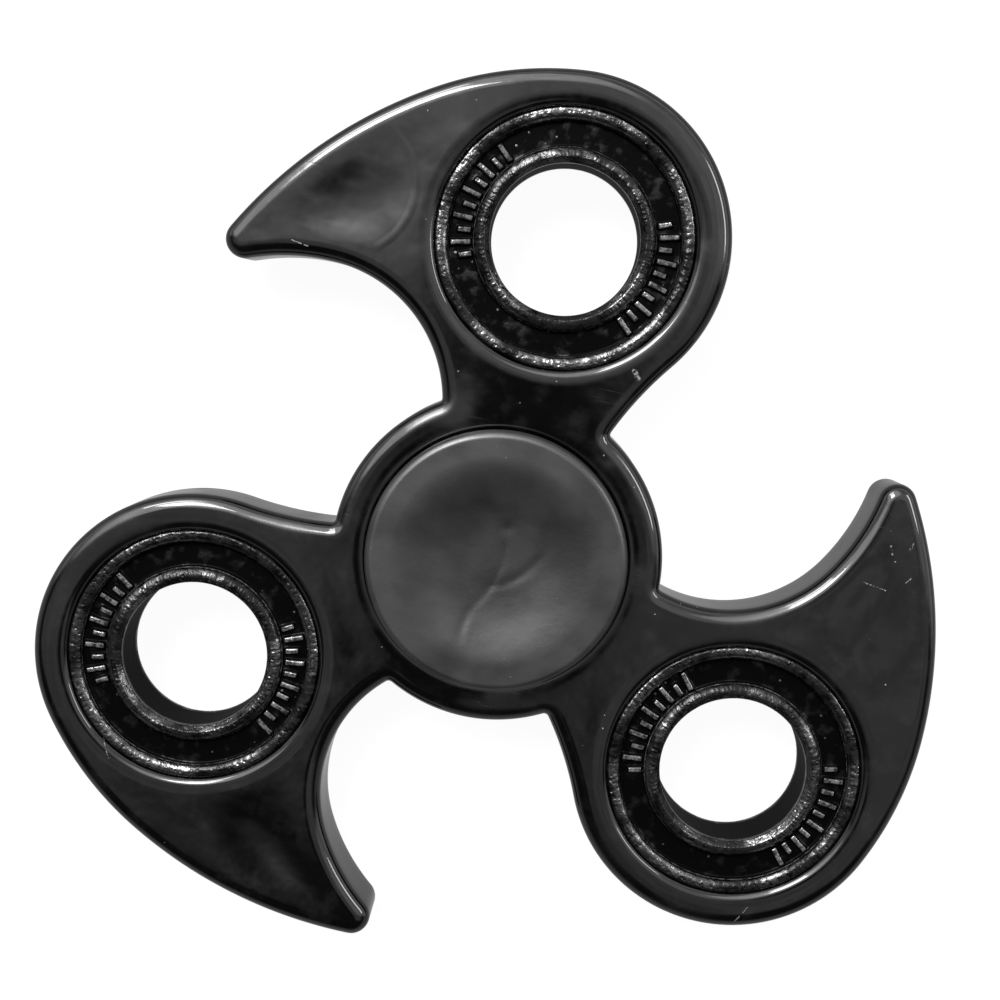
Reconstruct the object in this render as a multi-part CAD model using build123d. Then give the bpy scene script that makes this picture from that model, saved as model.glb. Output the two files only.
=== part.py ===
from build123d import *
import math
import os

# Three-armed fidget spinner on a 608-size ball bearing.
# Millimetres. Origin at the hub centre, half way through the body. +Z is the spin axis.
# The first arm points along +Y, the others follow every 120 degrees counterclockwise.

# Body moulding
BODY_THICKNESS = 7.0
HUB_RADIUS = 14.35
ARM_COUNT = 3
ARM_REACH = 27.85
HOUSING_RADIUS = 14.15
EDGE_ROUND = 1.2
MOUTH_ROUND = 0.7
JUNCTION_ROUND = 0.4

# Arm outline: tangent arcs, each given by its radius and the angle it sweeps
HOUSING_START_ANGLE = -37.5
HOUSING_SWEEP = 133.2
SHOULDER_RADIUS = 29.4
SHOULDER_SWEEP = 24.3
BACK_RADIUS = 40.3
BACK_SWEEP = 30.45
TIP_RADIUS = 1.65
TIP_SWEEP = 140.55
HOOK_RADIUS = 18.5
HOOK_SWEEP = 23.45
NOTCH_RADIUS = 12.0
NOTCH_SWEEP = 86.0
NECK_RADIUS = 31.4
NECK_SWEEP = 21.0

# Ring weights pressed into the arms
RING_RADIUS = 11.0
RING_HALF_HEIGHT = 3.2
RING_BORE_RADIUS = 6.4
RING_OUTER_LIP = 1.1
RING_INNER_LIP = 1.4
RING_WEB_DEPTH = 1.0
RING_BORE_CHAMFER = 0.45
RING_RIM_ROUND = 0.25
OUTER_LIP_ROUND = 0.6
INNER_LIP_ROUND = 0.8
TICK_ANGLES = (-11.5, -3.5, -19.0)
TICKS_PER_GROUP = 10
TICK_PITCH = 7.0
TICK_HEIGHT = 0.45
TICK_WIDTH = 0.5
TICK_INNER_RADIUS = 7.95
TICK_LONG = 1.8
TICK_SHORT = 1.2

# Ball bearing, 608 size
BEARING_RADIUS = 11.0
BEARING_BORE_RADIUS = 4.0
BEARING_WIDTH = 7.0
BALL_COUNT = 7
BALL_RADIUS = 3.969 / 2
PITCH_RADIUS = 7.5
BALL_CLEARANCE = 0.02
GROOVE_RADIUS = 2.064
INNER_LAND_RADIUS = 6.05
OUTER_LAND_RADIUS = 8.95
RACE_CHAMFER = 0.3
SHIELD_SEAT_RADIUS = 9.75
SHIELD_SEAT_HEIGHT = 2.9
SHIELD_THICKNESS = 0.3
SHIELD_BORE_RADIUS = 6.3
SHIELD_RIM_WIDTH = 0.75
SHIELD_STEP = 0.12

# Ball cage, two pressed halves held by rivets
CAGE_INNER_RADIUS = 6.7
CAGE_OUTER_RADIUS = 8.3
CAGE_SHEET = 0.35
POCKET_CLEARANCE = 0.05
RIVET_SHANK_RADIUS = 0.4
RIVET_HEAD_RADIUS = 0.65
RIVET_HEAD_HEIGHT = 0.25

# Finger caps
CAP_RADIUS = 11.25
CAP_BASE_HEIGHT = 3.8
CAP_TOP_HEIGHT = 5.4
CAP_EDGE_ROUND = 0.7
CAP_UNDER_ROUND = 0.25
DISH_RADIUS = 8.0
DISH_DEPTH = 0.85
DISH_RIM_ROUND = 0.8
SHOULDER_DISC_RADIUS = 5.4
STEM_RADIUS = 4.0
STEM_END_HEIGHT = 0.3
STEM_CHAMFER = 0.4


def on_circle(radius, angle):
    return Vector(radius * math.cos(math.radians(angle)), radius * math.sin(math.radians(angle)))


def circles(shape, radius):
    """The circular edges of a shape that have this radius."""
    return shape.edges().filter_by(GeomType.CIRCLE).filter_by(lambda e: abs(e.radius - radius) < 0.005)


def arm_angles():
    return [90 + index * 360 / ARM_COUNT for index in range(ARM_COUNT)]


def arm_outline():
    """One arm along +Y, running into the hub disc: a round housing with a swept-back hooked tip."""
    housing_centre = Vector(0, ARM_REACH)
    start = housing_centre + on_circle(HOUSING_RADIUS, HOUSING_START_ANGLE)
    heading = on_circle(1, HOUSING_START_ANGLE + 90)
    housing = JernArc(start, heading, HOUSING_RADIUS, HOUSING_SWEEP)
    shoulder = JernArc(housing @ 1, housing % 1, SHOULDER_RADIUS, SHOULDER_SWEEP)
    back = JernArc(shoulder @ 1, shoulder % 1, BACK_RADIUS, BACK_SWEEP)
    tip = JernArc(back @ 1, back % 1, TIP_RADIUS, TIP_SWEEP)
    hook = JernArc(tip @ 1, tip % 1, HOOK_RADIUS, -HOOK_SWEEP)
    notch = JernArc(hook @ 1, hook % 1, NOTCH_RADIUS, -NOTCH_SWEEP)
    neck = JernArc(start, -heading, NECK_RADIUS, NECK_SWEEP)
    root = Polyline(notch @ 1, (0, 0), neck @ 1)
    return make_face([housing, shoulder, back, tip, hook, notch, root, neck])


def body_outline():
    """Hub disc with the arms joined on, the creases between them eased."""
    outline = Circle(HUB_RADIUS)
    for angle in arm_angles():
        outline += Rot(0, 0, angle - 90) * arm_outline()
    outline = Sketch() + outline.faces()
    creases = outline.vertices().filter_by(lambda v: abs(Vector(v.X, v.Y).length - HUB_RADIUS) < 0.01)
    return fillet(creases, JUNCTION_ROUND)


def spinner_body():
    """One-piece glossy moulding with a bore for the bearing and one for each weight."""
    body = extrude(body_outline(), BODY_THICKNESS / 2, both=True)
    rims = body.edges().filter_by(lambda e: abs(abs(e.center().Z) - BODY_THICKNESS / 2) < 0.001)
    body = fillet(rims, EDGE_ROUND)
    bore_centres = [Vector(0, 0)] + [on_circle(ARM_REACH, angle) for angle in arm_angles()]
    for centre in bore_centres:
        body -= Pos(centre.X, centre.Y, 0) * Cylinder(BEARING_RADIUS, BODY_THICKNESS)
    return fillet(circles(body, BEARING_RADIUS), MOUTH_ROUND)


def ring_ticks():
    """Two opposite groups of plain ticks on each web, alternating long and short.

    Each tick runs right through the ring and stands proud of the web on both faces.
    """
    ticks = []
    height = 2 * (RING_HALF_HEIGHT - RING_WEB_DEPTH + TICK_HEIGHT)
    for group_angle in (0, 180):
        for index in range(TICKS_PER_GROUP):
            angle = group_angle + (index - (TICKS_PER_GROUP - 1) / 2) * TICK_PITCH
            length = TICK_LONG if index % 2 == 0 else TICK_SHORT
            tick = Pos(TICK_INNER_RADIUS + length / 2, 0, 0) * Box(length, TICK_WIDTH, height)
            ticks.append(Rot(0, 0, angle) * tick)
    return ticks


def ring_weight(arm_angle, tick_angle):
    """Cast ring: raised outer and inner lips, a sunk web between them on both faces."""
    ring = Cylinder(RING_RADIUS, 2 * RING_HALF_HEIGHT)
    ring -= Cylinder(RING_BORE_RADIUS, 2 * RING_HALF_HEIGHT)
    web_outer = RING_RADIUS - RING_OUTER_LIP
    web_inner = RING_BORE_RADIUS + RING_INNER_LIP
    sunk = Cylinder(web_outer, RING_WEB_DEPTH) - Cylinder(web_inner, RING_WEB_DEPTH)
    for height_sign in (1, -1):
        ring -= Pos(0, 0, height_sign * (RING_HALF_HEIGHT - RING_WEB_DEPTH / 2)) * sunk
    ring = chamfer(circles(ring, RING_BORE_RADIUS), RING_BORE_CHAMFER)
    rounds = ((RING_RADIUS, RING_RIM_ROUND), (web_outer, OUTER_LIP_ROUND), (web_inner, INNER_LIP_ROUND))
    for radius, rounding in rounds:
        rims = circles(ring, radius)
        ring = fillet(rims.filter_by(lambda e: abs(e.center().Z) > RING_HALF_HEIGHT - 0.001), rounding)
    ring += [Rot(0, 0, tick_angle) * tick for tick in ring_ticks()]
    centre = on_circle(ARM_REACH, arm_angle)
    return Pos(centre.X, centre.Y, 0) * ring


def revolved(points):
    """Solid of revolution about Z from a closed outline of (radius, height) points."""
    return revolve(Plane.XZ * make_face(Polyline(*points, close=True)), Axis.Z)


def groove(bottom_radius, outward):
    """Raceway torus whose bottom touches bottom_radius, opening inward or outward."""
    centre_radius = bottom_radius - GROOVE_RADIUS if outward else bottom_radius + GROOVE_RADIUS
    return Torus(centre_radius, GROOVE_RADIUS)


def bearing_outer_race():
    """Outer race with its ball groove and a seat at each face for the shield."""
    race = Cylinder(BEARING_RADIUS, BEARING_WIDTH)
    race -= Cylinder(OUTER_LAND_RADIUS, BEARING_WIDTH)
    seat_depth = BEARING_WIDTH / 2 - SHIELD_SEAT_HEIGHT
    for height_sign in (1, -1):
        seat = Cylinder(SHIELD_SEAT_RADIUS, seat_depth)
        race -= Pos(0, 0, height_sign * (SHIELD_SEAT_HEIGHT + seat_depth / 2)) * seat
    race = chamfer(circles(race, BEARING_RADIUS), RACE_CHAMFER)
    return race - groove(PITCH_RADIUS + BALL_RADIUS + BALL_CLEARANCE, outward=True)


def bearing_inner_race():
    """Inner race, bored for the cap stems."""
    race = Cylinder(INNER_LAND_RADIUS, BEARING_WIDTH)
    race -= Cylinder(BEARING_BORE_RADIUS, BEARING_WIDTH)
    race = chamfer(race.edges().filter_by(GeomType.CIRCLE), RACE_CHAMFER)
    return race - groove(PITCH_RADIUS - BALL_RADIUS - BALL_CLEARANCE, outward=False)


def ball_angle(index):
    return 90 + index * 360 / BALL_COUNT


def bearing_ball(index):
    centre = on_circle(PITCH_RADIUS, ball_angle(index))
    return Pos(centre.X, centre.Y, 0) * Sphere(BALL_RADIUS)


def cage_annulus(height):
    annulus = Cylinder(CAGE_OUTER_RADIUS, height, align=(Align.CENTER, Align.CENTER, Align.MIN))
    return annulus - Cylinder(CAGE_INNER_RADIUS, height, align=(Align.CENTER, Align.CENTER, Align.MIN))


def ball_cage_half():
    """Upper half of the pressed cage: flat between the balls, domed over each one."""
    pocket_radius = BALL_RADIUS + POCKET_CLEARANCE
    dome_radius = pocket_radius + CAGE_SHEET
    half = cage_annulus(CAGE_SHEET)
    for index in range(BALL_COUNT):
        centre = on_circle(PITCH_RADIUS, ball_angle(index))
        half += cage_annulus(dome_radius) & (Pos(centre.X, centre.Y, 0) * Sphere(dome_radius))
    for index in range(BALL_COUNT):
        centre = on_circle(PITCH_RADIUS, ball_angle(index))
        half -= Pos(centre.X, centre.Y, 0) * Sphere(pocket_radius)
        hole = on_circle(PITCH_RADIUS, ball_angle(index + 0.5))
        half -= Pos(hole.X, hole.Y, 0) * Cylinder(RIVET_SHANK_RADIUS, 4 * CAGE_SHEET)
    return half


def cage_rivets():
    """One rivet between each pair of balls, headed over both cage halves."""
    rivets = []
    for index in range(BALL_COUNT):
        place = on_circle(PITCH_RADIUS, ball_angle(index + 0.5))
        rivet = Cylinder(RIVET_SHANK_RADIUS, 2 * CAGE_SHEET)
        for height_sign in (1, -1):
            head_height = height_sign * (CAGE_SHEET + RIVET_HEAD_HEIGHT / 2)
            rivet += Pos(0, 0, head_height) * Cylinder(RIVET_HEAD_RADIUS, RIVET_HEAD_HEIGHT)
        ends = rivet.edges().filter_by(
            lambda e: abs(abs(e.center().Z) - CAGE_SHEET - RIVET_HEAD_HEIGHT) < 0.001
        )
        rivets.append(Pos(place.X, place.Y, 0) * fillet(ends, RIVET_HEAD_HEIGHT * 0.6))
    return Compound(rivets)


def bearing_shield():
    """Upper pressed shield: a flat ring with its seated rim stepped down."""
    step_outer = SHIELD_SEAT_RADIUS - SHIELD_RIM_WIDTH
    step_inner = step_outer - SHIELD_THICKNESS
    low = SHIELD_SEAT_HEIGHT
    return revolved(
        [
            (SHIELD_SEAT_RADIUS, low),
            (SHIELD_SEAT_RADIUS, low + SHIELD_THICKNESS),
            (step_outer, low + SHIELD_THICKNESS),
            (step_inner, low + SHIELD_THICKNESS + SHIELD_STEP),
            (SHIELD_BORE_RADIUS, low + SHIELD_THICKNESS + SHIELD_STEP),
            (SHIELD_BORE_RADIUS, low + SHIELD_STEP),
            (step_inner, low + SHIELD_STEP),
            (step_outer, low),
        ]
    )


def finger_cap():
    """Upper cap: dished disc, a low shoulder on the inner race, and a stem pressed in its bore."""
    disc_height = CAP_TOP_HEIGHT - CAP_BASE_HEIGHT
    disc = Pos(0, 0, CAP_BASE_HEIGHT + disc_height / 2) * Cylinder(CAP_RADIUS, disc_height)
    dish_sphere = (DISH_RADIUS**2 + DISH_DEPTH**2) / (2 * DISH_DEPTH)
    disc -= Pos(0, 0, CAP_TOP_HEIGHT - DISH_DEPTH + dish_sphere) * Sphere(dish_sphere)
    disc = fillet(circles(disc, DISH_RADIUS), DISH_RIM_ROUND)
    disc = fillet(circles(disc, CAP_RADIUS).sort_by(Axis.Z)[-1], CAP_EDGE_ROUND)
    disc = fillet(circles(disc, CAP_RADIUS).sort_by(Axis.Z)[0], CAP_UNDER_ROUND)
    race_face = BEARING_WIDTH / 2
    shoulder_height = CAP_BASE_HEIGHT - race_face
    disc += Pos(0, 0, race_face + shoulder_height / 2) * Cylinder(SHOULDER_DISC_RADIUS, shoulder_height)
    stem_length = race_face - STEM_END_HEIGHT
    stem = Pos(0, 0, STEM_END_HEIGHT + stem_length / 2) * Cylinder(STEM_RADIUS, stem_length)
    stem = chamfer(stem.edges().group_by(Axis.Z)[0].filter_by(GeomType.CIRCLE), STEM_CHAMFER)
    return disc + stem


def lower(shape):
    """The same piece on the other side of the body."""
    return Rot(180, 0, 0) * shape


def all_parts():
    parts = {"spinner_body": spinner_body()}
    for name, arm_angle, tick_angle in zip("abc", arm_angles(), TICK_ANGLES):
        parts[f"ring_weight_{name}"] = ring_weight(arm_angle, tick_angle)
    parts["bearing_outer_race"] = bearing_outer_race()
    parts["bearing_inner_race"] = bearing_inner_race()
    for index in range(BALL_COUNT):
        parts[f"bearing_ball_{index + 1}"] = bearing_ball(index)
    cage_half = ball_cage_half()
    parts["ball_cage_upper"] = cage_half
    parts["ball_cage_lower"] = cage_half.mirror(Plane.XY)
    parts["cage_rivets"] = cage_rivets()
    shield = bearing_shield()
    parts["bearing_shield_top"] = shield
    parts["bearing_shield_bottom"] = lower(shield)
    cap = finger_cap()
    parts["finger_cap_top"] = cap
    parts["finger_cap_bottom"] = lower(cap)
    return parts


os.makedirs("parts", exist_ok=True)
for node, shape in all_parts().items():
    export_step(shape, f"parts/{node}.step")
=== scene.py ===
"""Looks for the fidget spinner: fine meshes for the moulded body, the cast weights and the caps.

All sizes are in millimetres and are turned into metres when a mesh is made.
"""

import math

import bpy
import numpy as np
from mathutils import Matrix, Vector, geometry, kdtree, noise


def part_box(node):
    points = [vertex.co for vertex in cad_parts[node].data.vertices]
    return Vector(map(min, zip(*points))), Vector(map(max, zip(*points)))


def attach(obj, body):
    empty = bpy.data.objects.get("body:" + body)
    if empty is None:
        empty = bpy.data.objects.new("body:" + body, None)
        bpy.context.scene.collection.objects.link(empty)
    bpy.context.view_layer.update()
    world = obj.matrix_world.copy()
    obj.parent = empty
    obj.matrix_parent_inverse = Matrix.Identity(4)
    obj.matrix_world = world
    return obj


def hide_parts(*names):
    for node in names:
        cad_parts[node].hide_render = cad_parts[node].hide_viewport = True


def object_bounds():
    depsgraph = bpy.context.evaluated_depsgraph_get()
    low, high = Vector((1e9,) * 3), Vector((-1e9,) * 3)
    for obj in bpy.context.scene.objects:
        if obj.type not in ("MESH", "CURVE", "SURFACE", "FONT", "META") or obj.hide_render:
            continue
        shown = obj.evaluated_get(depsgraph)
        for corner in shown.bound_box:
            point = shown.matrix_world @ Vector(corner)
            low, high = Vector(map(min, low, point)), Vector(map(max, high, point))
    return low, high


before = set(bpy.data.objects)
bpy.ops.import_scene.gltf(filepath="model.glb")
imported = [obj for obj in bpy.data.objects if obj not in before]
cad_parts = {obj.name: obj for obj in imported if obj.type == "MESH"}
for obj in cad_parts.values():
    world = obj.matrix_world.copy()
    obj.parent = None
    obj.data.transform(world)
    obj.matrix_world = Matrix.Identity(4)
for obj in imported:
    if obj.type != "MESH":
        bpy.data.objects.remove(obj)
cad_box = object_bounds()

MM = 0.001
# Everything stays this far inside the CAD's walls
SKIN_GAP = 0.005

# Body outline: tangent arcs of one arm that points along +Y
ARM_COUNT = 3
ARM_PITCH = 360 / ARM_COUNT
HUB_RADIUS = 14.35
JUNCTION_ROUND = 0.4
RIGHT_CREASE_NEAR = 60.0
LEFT_CREASE_NEAR = 120.0
HOUSING_RADIUS = 14.15
HOUSING_START_ANGLE = -37.5
HOUSING_SWEEP = 133.2
# The blade goes on in arcs that run into each other: (radius, degrees of sweep)
SHOULDER = (29.4, 24.3)
BACK = (40.3, 30.45)
TIP = (1.65, 140.55)
HOOK = (18.5, 23.45)
NOTCH_RADIUS = 12.0
NECK_RADIUS = 31.4
EDGE_ROUND = 1.2
MOUTH_ROUND = 0.66
POCKET_RADIUS = 11.0

# Each edge round runs out into the flat through a slack curve: (radius, degrees of tilt it takes up)
EDGE_SLACK = (4.0, 4.0)
MOUTH_SLACK = (6.5, 7.0)

# Mesh fineness
OUTLINE_STEP = 0.3
FACE_STEP = 0.85
RIM_CLEARANCE = 0.55
ROUND_SEGMENTS = 12
SLACK_SEGMENTS = 5
FLAT_MARGIN = 0.05

# Sink marks left by moulding: the thick blade of each arm draws in as it cools
SINK_CENTRE = (-17.7, 27.3)
SINK_RADII = (4.3, 2.6)
SINK_ANGLE = 28.0
SINK_DEPTH = 0.17
WAVE_DEPTH = 0.035
WAVE_LENGTH = 8.0
WAVE_SLICE = 3.1
EDGE_FADE = 2.2


def unit(angle):
    return Vector((math.cos(math.radians(angle)), math.sin(math.radians(angle))))


def angle_of(v):
    return math.degrees(math.atan2(v.y, v.x))


def node_centre(node):
    low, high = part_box(node)
    return (low + high) / 2 / MM


BODY_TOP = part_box("spinner_body")[1].z / MM
RING_NODES = ("ring_weight_a", "ring_weight_b", "ring_weight_c")
ARM_REACH = node_centre("ring_weight_a").y
RING_RADIUS = (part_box("ring_weight_a")[1].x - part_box("ring_weight_a")[0].x) / 2 / MM
RING_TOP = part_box("ring_weight_a")[1].z / MM
CAP_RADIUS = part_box("finger_cap_top")[1].x / MM
CAP_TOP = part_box("finger_cap_top")[1].z / MM


# ---------------------------------------------------------------- mesh making


def make_piece(name, points, faces, material, body, nodes):
    """A smooth mesh object from points in millimetres, riding on a body and standing for CAD nodes."""
    mesh = bpy.data.meshes.new(name)
    mesh.from_pydata([tuple(p * MM for p in point) for point in points], [], faces)
    mesh.validate()
    mesh.shade_smooth()
    mesh.materials.append(material)
    piece = bpy.data.objects.new(name, mesh)
    bpy.context.scene.collection.objects.link(piece)
    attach(piece, body)
    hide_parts(*nodes)
    return piece


def grid_faces(rows, columns, first=0):
    """Quads between neighbouring rows of points, each row a loop of so many columns."""
    faces = []
    for row in range(rows - 1):
        for column in range(columns):
            here = first + row * columns + column
            beside = first + row * columns + (column + 1) % columns
            faces.append((here, beside, beside + columns, here + columns))
    return faces


# ---------------------------------------------------------------- body outline


class Arc:
    """A stretch of outline with the material on its left. A negative sweep is a hollow stretch."""

    def __init__(self, centre, radius, start, sweep):
        self.centre = Vector(centre)
        self.radius = radius
        self.start = start
        self.sweep = sweep

    def samples(self, turn):
        """Points and outward normals, without the last point, turned about the hub."""
        count = max(4, math.ceil(abs(math.radians(self.sweep)) * self.radius / OUTLINE_STEP))
        spin = Matrix.Rotation(math.radians(turn), 2)
        found = []
        for index in range(count):
            radial = unit(self.start + self.sweep * index / count)
            outward = radial if self.sweep > 0 else -radial
            found.append((spin @ (self.centre + self.radius * radial), spin @ outward))
        return found


def crease_circle(centre, radius, near):
    """Centre of the small round in a crease between the hub and a hollow arc round centre."""
    a, b = HUB_RADIUS + JUNCTION_ROUND, radius - JUNCTION_ROUND
    distance = centre.length
    along = (a * a - b * b + distance * distance) / (2 * distance)
    aside = math.sqrt(a * a - along * along)
    forward = centre.normalized()
    left = Vector((-forward.y, forward.x))
    options = [forward * along + left * aside, forward * along - left * aside]
    return min(options, key=lambda point: (point - near).length)


def arm_arcs():
    """The arcs of one arm from its right-hand crease to the hub arc beyond its left-hand crease."""
    housing_centre = Vector((0, ARM_REACH))
    neck_centre = housing_centre + (HOUSING_RADIUS + NECK_RADIUS) * unit(HOUSING_START_ANGLE)
    right_crease = crease_circle(neck_centre, NECK_RADIUS, HUB_RADIUS * unit(RIGHT_CREASE_NEAR))
    neck_start = angle_of(right_crease - neck_centre) % 360
    arcs = [
        Arc(neck_centre, NECK_RADIUS, neck_start, 180 + HOUSING_START_ANGLE - neck_start),
        Arc(housing_centre, HOUSING_RADIUS, HOUSING_START_ANGLE, HOUSING_SWEEP),
    ]
    for radius, sweep in (SHOULDER, BACK, TIP):
        last = arcs[-1]
        angle = last.start + last.sweep
        arcs.append(Arc(last.centre + (last.radius - radius) * unit(angle), radius, angle, sweep))
    last = arcs[-1]
    angle = last.start + last.sweep
    hook_centre = last.centre + (last.radius + HOOK[0]) * unit(angle)
    arcs.append(Arc(hook_centre, HOOK[0], angle - 180, -HOOK[1]))
    angle = angle - 180 - HOOK[1]
    notch_centre = hook_centre + (HOOK[0] - NOTCH_RADIUS) * unit(angle)
    left_crease = crease_circle(notch_centre, NOTCH_RADIUS, HUB_RADIUS * unit(LEFT_CREASE_NEAR))
    notch_end = angle_of(left_crease - notch_centre)
    arcs.append(Arc(notch_centre, NOTCH_RADIUS, angle, notch_end - angle))
    hub_start = angle_of(left_crease)
    arcs.append(Arc(left_crease, JUNCTION_ROUND, notch_end, hub_start - 180 - notch_end))
    hub_end = angle_of(right_crease) + ARM_PITCH
    arcs.append(Arc((0, 0), HUB_RADIUS, hub_start, hub_end - hub_start))
    next_crease = Matrix.Rotation(math.radians(ARM_PITCH), 2) @ right_crease
    next_neck = neck_start + ARM_PITCH
    arcs.append(Arc(next_crease, JUNCTION_ROUND, hub_end + 180, next_neck - hub_end - 180))
    return arcs


def hole_centres():
    """The hub bore's centre, then the three pockets'."""
    return [Vector((0, 0))] + [node_centre(node).to_2d() for node in RING_NODES]


def body_loops():
    """The outer outline, then the hub bore and the three pockets, as (point, outward normal) lists."""
    outer = []
    for arm in range(ARM_COUNT):
        for arc in arm_arcs():
            outer += arc.samples(arm * ARM_PITCH)
    loops = [outer]
    for centre in hole_centres():
        loops.append(Arc(centre, POCKET_RADIUS, 0, -360).samples(0))
    return loops


# ---------------------------------------------------------------- body


def rounded_wall(rounding, slack):
    """(inset, height) steps up a wall from the lower face to the upper, with both edges rounded."""
    slack_radius, slack_angle = slack
    end = math.radians(90 - slack_angle)
    quarter = []
    for step in range(ROUND_SEGMENTS):
        tilt = end * step / ROUND_SEGMENTS
        quarter.append((rounding * (1 - math.cos(tilt)), rounding * math.sin(tilt)))
    offset = (rounding - slack_radius) * math.sin(end)
    run_out = rounding + (slack_radius - rounding) * math.cos(end)
    for step in range(SLACK_SEGMENTS + 1):
        tilt = end + math.radians(slack_angle) * step / SLACK_SEGMENTS
        quarter.append((run_out - slack_radius * math.cos(tilt), offset + slack_radius * math.sin(tilt)))
    drop = BODY_TOP - quarter[-1][1]
    quarter.append((quarter[-1][0] + FLAT_MARGIN, quarter[-1][1]))
    quarter = [(inset, height + drop) for inset, height in quarter]
    lower = [(inset, -height) for inset, height in reversed(quarter)]
    middle = [(0.0, share * drop) for share in (-0.5, 0.0, 0.5)]
    return lower + middle + quarter


def sink(x, y, to_edge):
    """How far the flat faces are drawn in: a sink mark in each blade and a faint waviness."""
    depth = 0.0
    for arm in range(ARM_COUNT):
        offset = Vector((x, y)) - Matrix.Rotation(math.radians(ARM_PITCH * arm), 2) @ Vector(SINK_CENTRE)
        local = Matrix.Rotation(math.radians(-ARM_PITCH * arm - SINK_ANGLE), 2) @ offset
        depth += SINK_DEPTH * math.exp(-((local.x / SINK_RADII[0]) ** 2) - (local.y / SINK_RADII[1]) ** 2)
    wave = noise.noise(Vector((x, y, WAVE_SLICE)) / WAVE_LENGTH)
    depth += WAVE_DEPTH * (0.5 + 0.5 * wave)
    fade = min(1.0, max(0.0, to_edge / EDGE_FADE))
    return depth * fade * fade * (3 - 2 * fade)


def inside_outline(point, outline):
    """Even-odd test of a point against a closed outline of points."""
    crossed = False
    previous = outline[-1]
    for corner in outline:
        if (corner.y > point.y) != (previous.y > point.y):
            share = (point.y - corner.y) / (previous.y - corner.y)
            if point.x < corner.x + share * (previous.x - corner.x):
                crossed = not crossed
        previous = corner
    return crossed


def face_lattice(outline, rims):
    """Points of an even triangular lattice inside the flat face, clear of its rims."""
    tree = kdtree.KDTree(len(rims))
    for index, rim in enumerate(rims):
        tree.insert((rim.x, rim.y, 0), index)
    tree.balance()
    low = Vector((min(p.x for p in outline), min(p.y for p in outline)))
    high = Vector((max(p.x for p in outline), max(p.y for p in outline)))
    found = []
    row_height = FACE_STEP * math.sqrt(3) / 2
    for row in range(int((high.y - low.y) / row_height) + 1):
        shift = FACE_STEP / 2 if row % 2 else 0.0
        for column in range(int((high.x - low.x) / FACE_STEP) + 1):
            point = Vector((low.x + column * FACE_STEP + shift, low.y + row * row_height))
            gap = tree.find((point.x, point.y, 0))[2]
            if gap > RIM_CLEARANCE * FACE_STEP and inside_outline(point, outline):
                found.append((point, gap))
    return found


def build_body(material):
    """Walls and rounded edges from the loops, and flat faces with their sink marks between them."""
    points, faces, rim_ids = [], [], []
    rims, rim_edges = [], []
    loops = body_loops()
    for number, loop in enumerate(loops):
        if number == 0:
            profile = rounded_wall(EDGE_ROUND, EDGE_SLACK)
        else:
            profile = rounded_wall(MOUTH_ROUND, MOUTH_SLACK)
        first = len(points)
        for inset, height in profile:
            for place, outward in loop:
                flat = place - outward * (inset + SKIN_GAP)
                points.append((flat.x, flat.y, height))
        faces += grid_faces(len(profile), len(loop), first)
        start = len(rims)
        for index in range(len(loop)):
            top = first + (len(profile) - 1) * len(loop) + index
            rim_ids.append((top, first + index))
            rims.append(Vector(points[top][:2]))
            rim_edges.append((start + index, start + (index + 1) % len(loop)))
    outline = rims[: len(loops[0])]
    centres = hole_centres()
    hole_radius = POCKET_RADIUS + profile[-1][0]
    lattice = [
        (point, gap)
        for point, gap in face_lattice(outline, rims)
        if all((point - centre).length > hole_radius for centre in centres)
    ]
    flat_points = rims + [point for point, _ in lattice]
    found, _, triangles, origins, _, _ = geometry.delaunay_2d_cdt(flat_points, rim_edges, [], 0, 1e-6)
    top_ids, bottom_ids = {}, {}
    for index, sources in enumerate(origins):
        source = sources[0]
        if source < len(rims):
            top_ids[index], bottom_ids[index] = rim_ids[source]
            continue
        point, gap = lattice[source - len(rims)]
        height = BODY_TOP - sink(point.x, point.y, gap)
        top_ids[index] = len(points)
        points.append((point.x, point.y, height))
        bottom_ids[index] = len(points)
        points.append((point.x, point.y, -height))
    for triangle in triangles:
        middle = sum((found[i] for i in triangle), Vector((0, 0))) / 3
        in_hole = any((middle - centre).length < hole_radius for centre in centres)
        if in_hole or not inside_outline(middle, outline):
            continue
        faces.append(tuple(top_ids[i] for i in triangle))
        faces.append(tuple(bottom_ids[i] for i in reversed(triangle)))
    return make_piece(
        "body_moulding", points, faces, material, "spinner", ["spinner_body"]
    )


# ---------------------------------------------------------------- turned profiles


def arc_points(centre, radius, start, end, step):
    """(radius, height) points on an arc, both ends included."""
    count = max(2, math.ceil(abs(math.radians(end - start)) * radius / step))
    return [
        tuple(Vector(centre) + radius * unit(start + (end - start) * i / count)) for i in range(count + 1)
    ]


def line_points(start, end, step):
    count = max(1, math.ceil((Vector(end) - Vector(start)).length / step))
    return [tuple(Vector(start).lerp(Vector(end), i / count)) for i in range(count + 1)]


def joined(stretches):
    """One run of profile points with the doubled joins taken out."""
    run = []
    for stretch in stretches:
        for point in stretch:
            if not run or (Vector(point) - Vector(run[-1])).length > 1e-6:
                run.append(point)
    return run


# ---------------------------------------------------------------- ring weights

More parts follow.
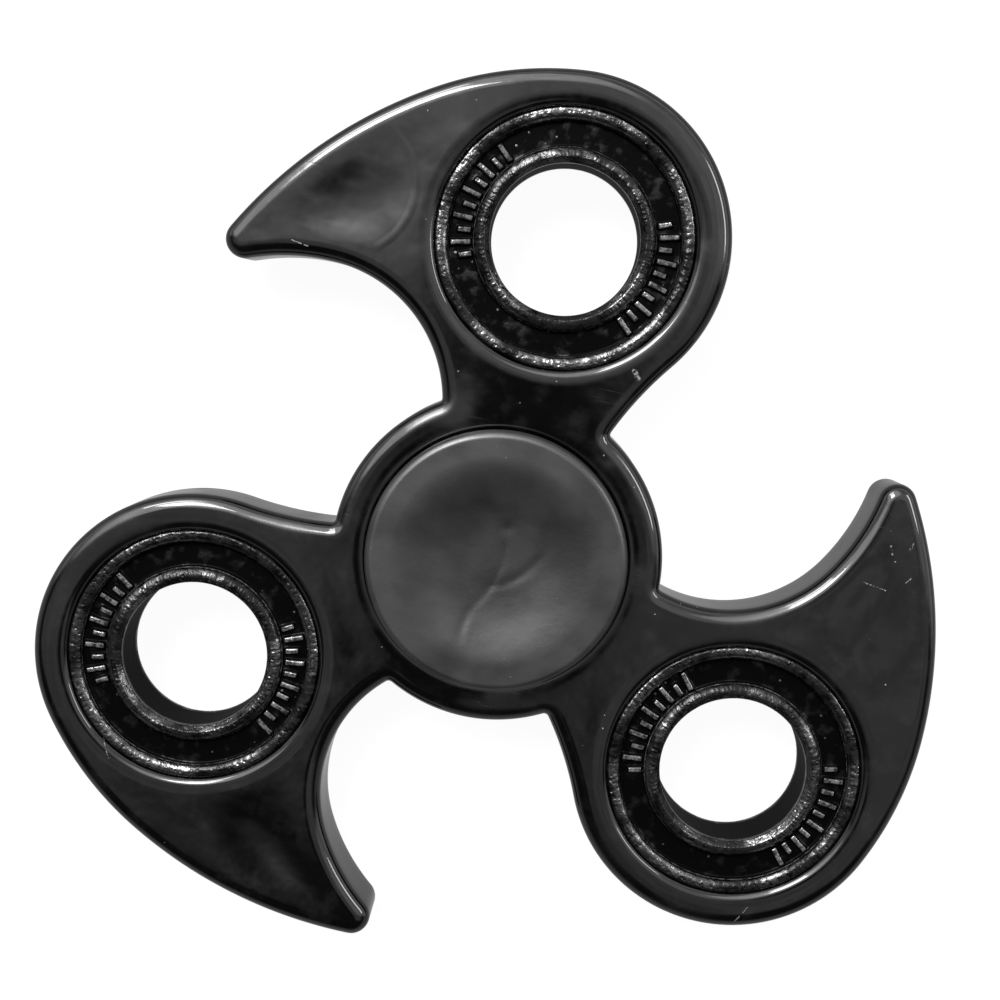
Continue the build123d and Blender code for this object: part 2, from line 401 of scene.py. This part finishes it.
RING_BORE = 6.4
BORE_CHAMFER = 0.45
LIP_CREST = 7.0
WEB_INNER = 7.8
WEB_OUTER = 9.9
WEB_DEPTH = 1.0
INNER_ROUND = 0.8
OUTER_ROUND = 0.6
RIM_ROUND = 0.25
FOOT_ROUND = 0.15
RING_COLUMNS = 720
RING_STEP = 0.12
FINE_STEP = 0.08
WALL_STEP = 0.45
TICK_ANGLES = (-11.5, -3.5, -19.0)
TICKS_PER_GROUP = 10
TICK_PITCH = 7.0
TICK_WIDTH = 0.5
TICK_START = 7.95
TICK_LONG = 1.8
TICK_SHORT = 1.2
TICK_HEIGHT = 0.45
TICK_SLOPE = 0.13
CAST_LIP = 0.05
CAST_WEB = 0.01
STREAK_DEPTH = 0.035
STREAK_WIDTH = 0.3
STREAK_LENGTH = 0.9
FLANK_HEIGHT = 0.2


def ring_profile():
    """Upper half of the ring's section, from the middle of the bore to the middle of the rim."""
    top, web = RING_TOP, RING_TOP - WEB_DEPTH
    step = RING_STEP
    return joined(
        [
            line_points((RING_BORE, 0), (RING_BORE, top - BORE_CHAMFER), WALL_STEP),
            line_points((RING_BORE, top - BORE_CHAMFER), (RING_BORE + BORE_CHAMFER, top), step),
            line_points((RING_BORE + BORE_CHAMFER, top), (LIP_CREST, top), step),
            arc_points((LIP_CREST, top - INNER_ROUND), INNER_ROUND, 90, 0, step),
            arc_points((WEB_INNER + FOOT_ROUND, web + FOOT_ROUND), FOOT_ROUND, 180, 270, FINE_STEP),
            line_points((WEB_INNER + FOOT_ROUND, web), (WEB_OUTER - FOOT_ROUND, web), step),
            arc_points((WEB_OUTER - FOOT_ROUND, web + FOOT_ROUND), FOOT_ROUND, 270, 360, FINE_STEP),
            arc_points((WEB_OUTER + OUTER_ROUND, top - OUTER_ROUND), OUTER_ROUND, 180, 90, step),
            line_points((WEB_OUTER + OUTER_ROUND, top), (RING_RADIUS - RIM_ROUND, top), step),
            arc_points((RING_RADIUS - RIM_ROUND, top - RIM_ROUND), RIM_ROUND, 90, 0, FINE_STEP),
            line_points((RING_RADIUS, top - RIM_ROUND), (RING_RADIUS, 0), 1.0),
        ]
    )


def tick_height(radius, angle, tick_angle):
    """Height of the plain raised ticks on the web, two opposite groups, long and short by turns."""
    half_span = (TICKS_PER_GROUP - 1) / 2 * TICK_PITCH
    from_group = (angle - tick_angle + 90) % 180 - 90
    index = round((from_group + half_span) / TICK_PITCH)
    if not 0 <= index < TICKS_PER_GROUP:
        return 0.0
    length = TICK_LONG if index % 2 == 0 else TICK_SHORT
    off_angle = from_group + half_span - index * TICK_PITCH
    aside = abs(math.radians(off_angle)) * radius - TICK_WIDTH / 2
    beyond = max(TICK_START - radius, radius - TICK_START - length)
    share = -max(aside, beyond) / TICK_SLOPE
    share = min(1.0, max(0.0, share + 0.5))
    return TICK_HEIGHT * share * share * (3 - 2 * share)


def cast_grain(x, y, z, seed):
    """Rough skin of the casting, from 0 to about 1."""
    coarse = noise.noise(Vector((x, y, z + seed)) / 0.6)
    fine = noise.noise(Vector((x + seed, y, z)) / 0.3)
    return min(1.0, max(0.0, 0.45 + 0.5 * coarse + 0.4 * fine))


def file_streaks(flat, radius, seed):
    """Short radial strokes left on the lips by dressing the casting, from 0 to about 1."""
    turns = flat * (RING_RADIUS / STREAK_WIDTH)
    stroke = noise.noise(Vector((turns.x, turns.y, radius / STREAK_LENGTH + seed)))
    return min(1.0, max(0.0, 0.5 + 0.8 * stroke))


def build_ring(number, material):
    """One cast ring: lips with a rough skin, a sunk web and its ticks, alike on both faces."""
    node = RING_NODES[number]
    centre = node_centre(node)
    upper = ring_profile()
    lower = [(radius, -height) for radius, height in reversed(upper[1:-1])]
    section = upper + lower
    web = RING_TOP - WEB_DEPTH
    points = []
    for radius, height in section:
        on_lip = abs(height) > web + FLANK_HEIGHT
        on_web = abs(abs(height) - web) < 0.02 and WEB_INNER < radius < WEB_OUTER
        depth = CAST_LIP if on_lip else CAST_WEB
        hidden = radius > RING_RADIUS - 0.01
        up = math.copysign(1.0, height) if abs(height) > web - 0.1 else 0.0
        for column in range(RING_COLUMNS):
            angle = 360 * column / RING_COLUMNS
            flat = unit(angle)
            rough = 0.0
            if not hidden:
                rough = depth * cast_grain(flat.x * radius, flat.y * radius, height, 7.0 * number)
            if on_lip and not hidden:
                rough += STREAK_DEPTH * file_streaks(flat, radius, 5.0 * number)
            raised = tick_height(radius, angle, TICK_ANGLES[number]) if on_web else 0.0
            spot = flat * (radius if up else radius + rough)
            tall = height + up * (raised - rough)
            points.append((centre.x + spot.x, centre.y + spot.y, tall))
    faces = grid_faces(len(section), RING_COLUMNS)
    last = (len(section) - 1) * RING_COLUMNS
    for column in range(RING_COLUMNS):
        beside = (column + 1) % RING_COLUMNS
        faces.append((last + column, last + beside, beside, column))
    name = "weight_ring_" + "abc"[number]
    return make_piece(name, points, faces, material, "spinner", [node])


# ---------------------------------------------------------------- finger caps

CAP_BASE = 3.8
CAP_EDGE_ROUND = 0.7
CAP_UNDER_ROUND = 0.25
DISH_RADIUS = 9.1
DISH_DEPTH = 0.85
DISH_POWER = 3.0
SHOULDER_DISC = 5.4
STEM_RADIUS = 4.0
STEM_END = 0.3
STEM_CHAMFER = 0.4
RACE_FACE = 3.5
CAP_COLUMNS = 288
CAP_STEP = 0.16
FLOW_WIDTH = 0.42
FLOW_DEPTH = 0.05
# Flow lines left in the dish by the moulding gate: start, pull and end of two short curves
FLOW_CURVES = (
    ((0.3, 2.6), (1.2, -1.4), (-1.7, -5.0)),
    ((-1.2, -4.2), (-1.9, -5.6), (-1.6, -7.7)),
    ((-0.5, -2.4), (2.6, -1.6), (4.1, 2.0)),
)
GATE_PLACE = (0.4, 3.0)
GATE_RADIUS = 0.55
GATE_DEPTH = 0.05


def dish_depth(radius):
    """Depth of the finger dish, which runs softly into the flat rim."""
    share = min(1.0, radius / DISH_RADIUS)
    return DISH_DEPTH * (1 - share**DISH_POWER) ** 2


def cap_profile():
    """Section of the upper cap from the middle of the dish out, round and down to the stem's end."""
    edge = CAP_RADIUS - CAP_EDGE_ROUND
    under = CAP_RADIUS - CAP_UNDER_ROUND
    chamfer_top = STEM_END + STEM_CHAMFER
    return joined(
        [
            [(radius, CAP_TOP - dish_depth(radius)) for radius in np.arange(CAP_STEP, edge - 0.1, CAP_STEP)],
            arc_points((edge, CAP_TOP - CAP_EDGE_ROUND), CAP_EDGE_ROUND, 90, 0, 0.06),
            arc_points((under, CAP_BASE + CAP_UNDER_ROUND), CAP_UNDER_ROUND, 0, -90, 0.08),
            line_points((under, CAP_BASE), (SHOULDER_DISC, CAP_BASE), 0.8),
            line_points((SHOULDER_DISC, CAP_BASE), (SHOULDER_DISC, RACE_FACE), 0.3),
            line_points((SHOULDER_DISC, RACE_FACE), (STEM_RADIUS, RACE_FACE), 0.7),
            line_points((STEM_RADIUS, RACE_FACE), (STEM_RADIUS, chamfer_top), 1.0),
            line_points((STEM_RADIUS, chamfer_top), (STEM_RADIUS - STEM_CHAMFER, STEM_END), 0.3),
            line_points((STEM_RADIUS - STEM_CHAMFER, STEM_END), (0.5, STEM_END), 0.8),
        ]
    )


def curve_samples(start, pull, end, count=40):
    """Points along a simple curve that leaves start towards pull and arrives at end."""
    a, b, c = Vector(start), Vector(pull), Vector(end)
    return [a.lerp(b, i / count).lerp(b.lerp(c, i / count), i / count) for i in range(count + 1)]


def flow_mark(x, y, samples):
    """Depth of the gate mark and the flow lines that run from it, at a place on the dish."""
    from_gate = math.hypot(x - GATE_PLACE[0], y - GATE_PLACE[1])
    depth = GATE_DEPTH * math.exp(-((from_gate / GATE_RADIUS) ** 2))
    for line in samples:
        gaps = [math.hypot(x - p.x, y - p.y) for p in line]
        nearest = min(range(len(line)), key=gaps.__getitem__)
        if gaps[nearest] > 4 * FLOW_WIDTH:
            continue
        taper = math.sin(math.pi * min(1.0, max(0.0, (nearest + 1) / (len(line) + 1))))
        depth += FLOW_DEPTH * taper * math.exp(-((gaps[nearest] / FLOW_WIDTH) ** 2))
    return depth


def build_cap(name, node, flip, material):
    """A turned cap on a polar mesh, with a fine flow mark in its dish. flip -1 makes the lower one."""
    section = cap_profile()
    lines = [curve_samples(*curve) for curve in FLOW_CURVES]
    reach = DISH_RADIUS - 0.2
    points = []
    for radius, height in section:
        in_dish = radius < reach and height > CAP_BASE + 0.5
        for column in range(CAP_COLUMNS):
            flat = unit(360 * column / CAP_COLUMNS) * radius
            sunk = flow_mark(flat.x, flat.y, lines) if in_dish else 0.0
            points.append((flat.x, flip * flat.y, flip * (height - sunk)))
    faces = [tuple(reversed(face)) for face in grid_faces(len(section), CAP_COLUMNS)]
    dish_middle = len(points)
    middle_depth = flow_mark(0, 0, lines)
    points.append((0, 0, flip * (CAP_TOP - DISH_DEPTH - middle_depth)))
    stem_middle = len(points)
    points.append((0, 0, flip * STEM_END))
    last = (len(section) - 1) * CAP_COLUMNS
    for column in range(CAP_COLUMNS):
        beside = (column + 1) % CAP_COLUMNS
        faces.append((dish_middle, column, beside))
        faces.append((stem_middle, last + beside, last + column))
    return make_piece(name, points, faces, material, "hub", [node])


# ---------------------------------------------------------------- materials


class Graph:
    """A node tree with short calls for the nodes that it uses."""

    def __init__(self, tree, coordinate):
        self.tree = tree
        self.place = tree.nodes.new("ShaderNodeTexCoord").outputs[coordinate]

    def node(self, kind, inputs=(), **settings):
        made = self.tree.nodes.new(kind)
        for key, value in settings.items():
            setattr(made, key, value)
        for key, value in dict(inputs).items():
            self.set(made, key, value)
        return made

    def set(self, node, key, value):
        """Gives an input a plain value, or joins it to another node's output."""
        if isinstance(value, bpy.types.NodeSocket):
            self.tree.links.new(value, node.inputs[key])
        else:
            node.inputs[key].default_value = value

    def math(self, operation, first, second=0.0, clamp=False):
        made = self.node("ShaderNodeMath", {0: first, 1: second}, operation=operation, use_clamp=clamp)
        return made.outputs[0]

    def noise(self, size, detail=2.0, roughness=0.5, stretch=(1, 1, 1)):
        """Noise whose lumps measure about size millimetres."""
        scaled = self.node("ShaderNodeMapping", {"Vector": self.place, "Scale": stretch})
        made = self.node(
            "ShaderNodeTexNoise",
            {"Vector": scaled.outputs[0], "Scale": 1 / (size * MM), "Detail": detail, "Roughness": roughness},
        )
        return made.outputs["Fac"]

    def cells(self, size, feature="F1"):
        """Distance to scattered points about size millimetres apart, in shares of that size."""
        made = self.node(
            "ShaderNodeTexVoronoi", {"Vector": self.place, "Scale": 1 / (size * MM)}, feature=feature
        )
        return made.outputs["Distance"]

    def ramp(self, value, low, high):
        """0 below low, 1 above high, smooth between."""
        made = self.node(
            "ShaderNodeMapRange",
            {"Value": value, "From Min": low, "From Max": high},
            interpolation_type="SMOOTHSTEP",
        )
        return made.outputs["Result"]

    def mix(self, share, first, second):
        """A plain value between first and second."""
        made = self.node("ShaderNodeMix", {"Factor": share}, data_type="FLOAT")
        self.set(made, 2, first)
        self.set(made, 3, second)
        return made.outputs[0]

    def grey(self, value):
        made = self.node("ShaderNodeCombineColor", {0: value, 1: value, 2: value})
        return made.outputs[0]

    def along(self, direction):
        """Share of the place vector that points along a direction."""
        made = self.node(
            "ShaderNodeVectorMath", {0: self.place, 1: tuple(direction)}, operation="DOT_PRODUCT"
        )
        return made.outputs["Value"]

    def bump(self, height, depth, normal=None):
        """Relief of so many millimetres."""
        made = self.node("ShaderNodeBump", {"Height": height, "Strength": 1.0, "Distance": depth * MM})
        if normal is not None:
            self.set(made, "Normal", normal)
        return made.outputs["Normal"]


class Shader(Graph):
    """A node material for a piece, laid out in the piece's own place."""

    def __init__(self, name):
        self.material = bpy.data.materials.new(name)
        self.material.use_nodes = True
        super().__init__(self.material.node_tree, "Object")
        self.surface = self.tree.nodes["Principled BSDF"]

    def finish(self, **inputs):
        for key, value in inputs.items():
            self.set(self.surface, key.replace("_", " "), value)
        return self.material


# Scratches on the moulding: start, end and half width in millimetres, on the top face
SCRATCHES = (
    ((31.2, 4.75), (33.2, 4.45), 0.07),
    ((32.75, 8.3), (33.0, 7.6), 0.12),
    ((34.6, 5.3), (35.1, 6.0), 0.06),
    ((34.4, 8.4), (34.6, 8.9), 0.12),
    ((-22.6, 23.05), (-21.1, 22.8), 0.07),
    ((8.1, 18.3), (8.6, 17.7), 0.25),
    ((-31.0, -22.0), (-29.6, -24.5), 0.05),
    ((28.0, -25.5), (27.2, -27.0), 0.05),
)


# A fine raised flow line in the moulding: part of a circle round the sunk spot of the first arm
FLOW_CENTRE = (-19.0, 28.6)
FLOW_RADIUS = 5.88
FLOW_HALF_WIDTH = 0.5
FLOW_FADE = (-16.6, -13.6)


def flow_line(shader):
    """1 on the moulding's flow line, fading to 0 at its sides and ends."""
    flat = shader.node("ShaderNodeVectorMath", {0: shader.place, 1: (1, 1, 0)}, operation="MULTIPLY")
    centre = (FLOW_CENTRE[0] * MM, FLOW_CENTRE[1] * MM, 0)
    reach = shader.node("ShaderNodeVectorMath", {0: flat.outputs[0], 1: centre}, operation="DISTANCE")
    gap = shader.math("SUBTRACT", reach.outputs["Value"], FLOW_RADIUS * MM)
    line = shader.ramp(shader.math("ABSOLUTE", gap), FLOW_HALF_WIDTH * MM, 0.0)
    fade = shader.ramp(shader.along((1, 0, 0)), FLOW_FADE[0] * MM, FLOW_FADE[1] * MM)
    return shader.math("MULTIPLY", line, fade)


def scratch_mask(shader):
    """1 on a scratch, 0 away from it."""
    flat = shader.node("ShaderNodeVectorMath", {0: shader.place, 1: (1, 1, 0)}, operation="MULTIPLY")
    marks = None
    for start, end, width in SCRATCHES:
        a = Vector((start[0], start[1], 0)) * MM
        along = Vector((end[0], end[1], 0)) * MM - a
        offset = shader.node("ShaderNodeVectorMath", {0: flat.outputs[0], 1: tuple(a)}, operation="SUBTRACT")
        dot = shader.node(
            "ShaderNodeVectorMath", {0: offset.outputs[0], 1: tuple(along)}, operation="DOT_PRODUCT"
        )
        share = shader.math("MULTIPLY", dot.outputs["Value"], 1 / along.length_squared, clamp=True)
        spot = shader.node(
            "ShaderNodeVectorMath", {0: tuple(along), "Scale": share}, operation="SCALE"
        )
        gap = shader.node(
            "ShaderNodeVectorMath", {0: offset.outputs[0], 1: spot.outputs[0]}, operation="DISTANCE"
        )
        mark = shader.ramp(gap.outputs["Value"], width * MM, 0.3 * width * MM)
        marks = mark if marks is None else shader.math("MAXIMUM", marks, mark)
    broken = shader.ramp(shader.noise(0.25), 0.42, 0.6)
    return shader.math("MULTIPLY", marks, broken)


def black_moulding():
    """Polished black plastic: faint waviness, smears, dust and a few scratches."""
    shader = Shader("black_moulding")
    smear = shader.ramp(shader.noise(7.0, detail=3.0, stretch=(1, 1.6, 1)), 0.45, 0.72)
    haze = shader.noise(0.9, detail=4.0, roughness=0.6)
    hairlines = shader.ramp(shader.noise(0.35, detail=2.0, stretch=(0.04, 1, 1)), 0.66, 0.72)
    hairlines = shader.math("MULTIPLY", hairlines, shader.ramp(shader.noise(5.0), 0.5, 0.7))
    specks = shader.ramp(shader.cells(1.7), 0.05, 0.03)
    specks = shader.math("MULTIPLY", specks, shader.ramp(shader.noise(11.0), 0.52, 0.6))
    scratches = scratch_mask(shader)
    bloom = shader.ramp(shader.noise(3.2, detail=5.0, roughness=0.65), 0.5, 0.72)
    roughness = shader.math("ADD", shader.mix(smear, 0.06, 0.24), shader.math("MULTIPLY", haze, 0.03))
    roughness = shader.math("ADD", roughness, shader.math("MULTIPLY", hairlines, 0.12))
    marked = shader.math("MAXIMUM", specks, scratches)
    roughness = shader.mix(marked, roughness, 0.7)
    tone = shader.mix(bloom, 0.0004, 0.0035)
    tone = shader.mix(shader.math("MULTIPLY", marked, 0.5), tone, 0.22)
    normal = shader.bump(shader.noise(2.8, detail=2.0), 0.018)
    normal = shader.bump(flow_line(shader), 0.012, normal)
    normal = shader.bump(hairlines, -0.002, normal)
    normal = shader.bump(marked, -0.02, normal)
    return shader.finish(
        Base_Color=shader.grey(tone), Roughness=roughness, IOR=1.5, Normal=normal
    )


def blackened_casting():
    """Blackened cast iron: gritty lips and ticks that sparkle over a smoother sunk web, with a painted
    highlight on the tick tops.
    """
    shader = Shader("blackened_casting")
    web = RING_TOP - WEB_DEPTH
    grit = shader.noise(0.36, detail=3.0, roughness=0.6)
    pits = shader.ramp(shader.cells(0.5), 0.35, 0.1)
    height = shader.math("ABSOLUTE", shader.along((0, 0, 1)))
    raised = shader.ramp(height, (web + 0.05) * MM, (web + 0.4) * MM)
    patches = shader.ramp(shader.noise(0.9, detail=3.0), 0.4, 0.62)
    dull = shader.ramp(shader.noise(4.2, detail=3.0), 0.42, 0.56)
    crust = shader.ramp(shader.noise(1.2, detail=3.0), 0.52, 0.74)
    glints = shader.ramp(shader.cells(1.4), 0.1, 0.04)
    tick_top = web + TICK_HEIGHT
    over = shader.ramp(height, (tick_top - 0.09) * MM, (tick_top - 0.03) * MM)
    under = shader.ramp(height, (tick_top + 0.09) * MM, (tick_top + 0.03) * MM)
    # Noise for the painted highlight on the tick tops
    painted_tick_glint = shader.ramp(shader.noise(0.35, detail=3.0), 0.38, 0.62)
    tone = shader.mix(shader.math("MULTIPLY", raised, patches), 0.0008, 0.006)
    # Tick tops get a much lighter colour: a painted highlight that stands in for the glints on the raised
    # ticks
    tone = shader.mix(shader.math("MULTIPLY", over, under), tone, shader.mix(painted_tick_glint, 0.008, 0.06))
    on_faces = shader.ramp(height, (web - 0.15) * MM, (web - 0.05) * MM)
    roughness = shader.mix(raised, shader.mix(on_faces, 0.6, 0.3), shader.mix(patches, 0.06, 0.15))
    on_lips = shader.mix(dull, shader.mix(patches, 1.0, 0.5), shader.mix(patches, 0.14, 0.07))
    on_web = shader.mix(on_faces, 0.03, shader.mix(glints, shader.mix(crust, 0.014, 0.16), 0.9))
    specular = shader.mix(raised, on_web, on_lips)
    share = shader.mix(raised, shader.mix(shader.math("MAXIMUM", crust, glints), 0.06, 0.4), 1.0)
    normal = shader.bump(shader.math("MULTIPLY", grit, share), 0.06)
    normal = shader.bump(shader.math("MULTIPLY", pits, share), -0.025, normal)
    return shader.finish(
        Base_Color=shader.grey(tone),
        Roughness=roughness,
        Specular_IOR_Level=specular,
        IOR=1.6,
        Normal=normal,
    )


def satin_cap():
    """Satin dark grey plastic with a fine moulded grain, cloudy flow patches, a little dust, and a rim
    painted lighter than the dish as painted light and shade.
    """
    shader = Shader("satin_cap")
    cloud = shader.noise(2.6, detail=3.0, roughness=0.55)
    patches = shader.ramp(shader.noise(5.0, detail=2.0), 0.35, 0.65)
    grain = shader.noise(0.2, detail=3.0, roughness=0.6)
    dust = shader.ramp(shader.cells(1.1), 0.05, 0.03)
    dust = shader.math("MULTIPLY", dust, shader.ramp(shader.noise(6.0), 0.54, 0.64))
    flat = shader.node("ShaderNodeVectorMath", {0: shader.place, 1: (1, 1, 0)}, operation="MULTIPLY")
    radius = shader.node("ShaderNodeVectorMath", {0: flat.outputs[0]}, operation="LENGTH").outputs["Value"]
    # The flat rim outside the dish is painted lighter and the dish darker: painted light and shade
    painted_rim_light = shader.ramp(radius, (DISH_RADIUS - 1.6) * MM, (DISH_RADIUS + 0.4) * MM)
    tone = shader.mix(painted_rim_light, shader.mix(patches, 0.0015, 0.005), shader.mix(patches, 0.006, 0.011))
    tone = shader.mix(shader.math("MULTIPLY", dust, 0.6), tone, 0.3)
    roughness = shader.math("ADD", shader.mix(patches, 0.32, 0.4), shader.math("MULTIPLY", grain, 0.06))
    normal = shader.bump(cloud, 0.035)
    normal = shader.bump(grain, 0.006, normal)
    normal = shader.bump(dust, 0.02, normal)
    return shader.finish(
        Base_Color=shader.grey(tone),
        Roughness=roughness,
        IOR=1.46,
        Coat_Weight=0.22,
        Coat_Roughness=0.16,
        Normal=normal,
    )


def worked_steel(name, tone, roughness, lay, depth):
    """Steel with a turned lay: fine rings of grain about the spin axis."""
    shader = Shader(name)
    split = shader.node("ShaderNodeSeparateXYZ", {0: shader.place})
    flat = shader.node("ShaderNodeVectorMath", {0: shader.place, 1: (1, 1, 0)}, operation="MULTIPLY")
    radius = shader.node("ShaderNodeVectorMath", {0: flat.outputs[0]}, operation="LENGTH")
    turned = shader.node(
        "ShaderNodeCombineXYZ", {0: radius.outputs["Value"], 1: 0.0, 2: split.outputs["Z"]}
    )
    rings = shader.node(
        "ShaderNodeTexNoise", {"Vector": turned.outputs[0], "Scale": 1 / (lay * MM), "Detail": 3.0}
    ).outputs["Fac"]
    stain = shader.noise(2.0, detail=3.0)
    colour = shader.grey(shader.mix(stain, tone * 0.85, tone))
    rough = shader.math("ADD", roughness, shader.math("MULTIPLY", rings, 0.1))
    normal = shader.bump(rings, depth)
    return shader.finish(Base_Color=colour, Metallic=1.0, Roughness=rough, Normal=normal)


# ---------------------------------------------------------------- stage, light and camera

# Metres
FLOOR_HALF = 3.0
FLOOR_GAP = 0.02 * MM
FLOOR_SEEN = 0.95
FLOOR_SHADE = 0.05
FLOOR_REFLECTED = 0.5
# The room's light, in shares of plain white
ROOM_DIM = 0.05
ROOM_AHEAD = 1.1
ROOM_SIDES = 0.6
ROOM_LOW = 0.5
ROOM_GLOW = 3.4
ROOM_LUMPS = 50.0
ROOM_UNEVEN = (0.68, 1.27)
GLOW_PLACE = (126.0, 43.0)
# Light panels: azimuth and tilt in degrees, width and height in millimetres, radiance
PANEL_DISTANCE = 500
PANELS = {
    "key_panel": (128.0, 36.0, 145, 195, 32.0),
    "key_strip": (128.0, 57.0, 190, 90, 18.0),
    "side_panel": (30.0, 57.0, 230, 80, 14.0),
}
CAMERA_PLACE = (-0.37, 20.30, 137.35)
CAMERA_AIM = (-0.76, 4.72, 0.0)
CAMERA_ROLL = 12.09
CAMERA_LENS = 56.6
SENSOR = 36.0


def add_camera():
    """Camera above the spinner, a little on the first arm's side, turned about its own axis."""
    place, aim = Vector(CAMERA_PLACE), Vector(CAMERA_AIM)
    forward = (aim - place).normalized()
    level = forward.cross(Vector((0, 1, 0))).normalized()
    upright = level.cross(forward)
    roll = math.radians(CAMERA_ROLL)
    right = level * math.cos(roll) + upright * math.sin(roll)
    up = right.cross(forward)
    data = bpy.data.cameras.new("camera")
    data.lens = CAMERA_LENS
    data.sensor_width = SENSOR
    data.clip_start = 0.005
    camera = bpy.data.objects.new("camera", data)
    matrix = Matrix((right, up, -forward)).transposed().to_4x4()
    matrix.translation = place * MM
    camera.matrix_world = matrix
    bpy.context.scene.collection.objects.link(camera)
    bpy.context.scene.camera = camera


def panel_direction(azimuth, tilt):
    flat = unit(azimuth) * math.sin(math.radians(tilt))
    return Vector((flat.x, flat.y, math.cos(math.radians(tilt))))


def add_panel(name, azimuth, tilt, width, height, radiance):
    """A soft light panel that faces the spinner, tilt degrees off the vertical towards azimuth."""
    direction = panel_direction(azimuth, tilt)
    data = bpy.data.lights.new(name, "AREA")
    data.shape = "RECTANGLE"
    data.size = width * MM
    data.size_y = height * MM
    data.energy = radiance * math.pi * width * height * MM * MM
    panel = bpy.data.objects.new(name, data)
    panel.location = direction * PANEL_DISTANCE * MM
    panel.rotation_mode = "QUATERNION"
    panel.rotation_quaternion = direction.to_track_quat("Z", "Y")
    bpy.context.scene.collection.objects.link(panel)


def add_floor():
    """Plain pale floor under the lower cap: a faint shadow falls on it, and from below it is clear."""
    level = cad_box[0].z - FLOOR_GAP
    corners = [(x * FLOOR_HALF, y * FLOOR_HALF, level) for x, y in ((-1, -1), (1, -1), (1, 1), (-1, 1))]
    mesh = bpy.data.meshes.new("floor")
    mesh.from_pydata(corners, [], [(0, 1, 2, 3)])
    material = bpy.data.materials.new("floor")
    material.use_nodes = True
    material.node_tree.nodes.clear()
    floor_graph = Graph(material.node_tree, "Object")
    path = floor_graph.node("ShaderNodeLightPath")
    side = floor_graph.node("ShaderNodeNewGeometry")
    shadowed = floor_graph.node("ShaderNodeBsdfDiffuse", {"Color": (FLOOR_SHADE,) * 3 + (1,)})
    glow = floor_graph.node("ShaderNodeEmission", {"Strength": FLOOR_SEEN})
    seen = floor_graph.node("ShaderNodeAddShader", {0: shadowed.outputs[0], 1: glow.outputs[0]})
    reflected = floor_graph.node("ShaderNodeEmission", {"Strength": FLOOR_REFLECTED})
    top = floor_graph.node(
        "ShaderNodeMixShader",
        {"Fac": path.outputs["Is Camera Ray"], 1: reflected.outputs[0], 2: seen.outputs[0]},
    )
    clear = floor_graph.node("ShaderNodeBsdfTransparent")
    both = floor_graph.node(
        "ShaderNodeMixShader", {"Fac": side.outputs["Backfacing"], 1: top.outputs[0], 2: clear.outputs[0]}
    )
    floor_graph.node("ShaderNodeOutputMaterial", {"Surface": both.outputs[0]})
    mesh.materials.append(material)
    floor = bpy.data.objects.new("floor", mesh)
    bpy.context.scene.collection.objects.link(floor)


def add_world():
    """Pale room: dim overhead, lighter past the first arm, at both sides and round the key panel.

    Seen straight it is plain white. Its uneven light only shows in the polished faces.
    """
    world = bpy.data.worlds.new("room")
    world.use_nodes = True
    bpy.context.scene.world = world
    background = world.node_tree.nodes["Background"]
    background.inputs["Color"].default_value = (1, 1, 1, 1)
    room = Graph(world.node_tree, "Generated")
    across, forward, up = room.along((1, 0, 0)), room.along((0, 1, 0)), room.along((0, 0, 1))
    aside = room.math("ABSOLUTE", across)
    ahead = room.math("MULTIPLY", room.ramp(forward, -0.04, 0.12), ROOM_AHEAD)
    sides = room.math("MULTIPLY", room.ramp(aside, 0.03, 0.13), room.ramp(forward, -0.39, -0.29))
    sides = room.math("MULTIPLY", sides, room.math("MULTIPLY", room.ramp(up, 0.5, 0.8), ROOM_SIDES))
    low_down = room.math("MULTIPLY", room.ramp(up, 0.5, 0.1), ROOM_LOW)
    to_glow = room.along(panel_direction(*GLOW_PLACE))
    glow = room.math("MULTIPLY", room.ramp(to_glow, 0.82, 0.9), ROOM_GLOW)
    total = room.math("ADD", room.math("ADD", ahead, sides), room.math("ADD", low_down, glow))
    total = room.math("ADD", total, ROOM_DIM)
    uneven = room.ramp(room.noise(ROOM_LUMPS, detail=3.0), 0.34, 0.66)
    total = room.math("MULTIPLY", total, room.mix(uneven, *ROOM_UNEVEN))
    seen = room.node("ShaderNodeLightPath").outputs["Is Camera Ray"]
    room.set(background, "Strength", room.mix(seen, total, 1.0))


def light_scene():
    add_world()
    add_floor()
    for name, settings in PANELS.items():
        add_panel(name, *settings)
    scene = bpy.context.scene
    scene.view_settings.view_transform = "Standard"
    scene.view_settings.look = "None"
    scene.view_settings.exposure = 0.0
    scene.view_settings.gamma = 1.0


# ---------------------------------------------------------------- put together


def finish_cad_nodes():
    """Materials for the bearing parts, which keep their CAD shapes."""
    race = worked_steel("ground_steel", 0.62, 0.16, 0.12, 0.0015)
    ball = worked_steel("ball_steel", 0.75, 0.04, 0.4, 0.0002)
    sheet = worked_steel("pressed_steel", 0.5, 0.3, 0.3, 0.003)
    shield = worked_steel("shield_steel", 0.42, 0.28, 0.1, 0.003)
    for name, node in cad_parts.items():
        if name.startswith("bearing_ball"):
            chosen = ball
        elif name.endswith("race"):
            chosen = race
        elif name.startswith("bearing_shield"):
            chosen = shield
        elif name.startswith(("ball_cage", "cage_rivets")):
            chosen = sheet
        else:
            continue
        node.data.materials.clear()
        node.data.materials.append(chosen)


build_body(black_moulding())
iron = blackened_casting()
for ring_number in range(len(RING_NODES)):
    build_ring(ring_number, iron)
cap_material = satin_cap()
build_cap("cap_upper", "finger_cap_top", 1, cap_material)
build_cap("cap_lower", "finger_cap_bottom", -1, cap_material)
finish_cad_nodes()
light_scene()
add_camera()
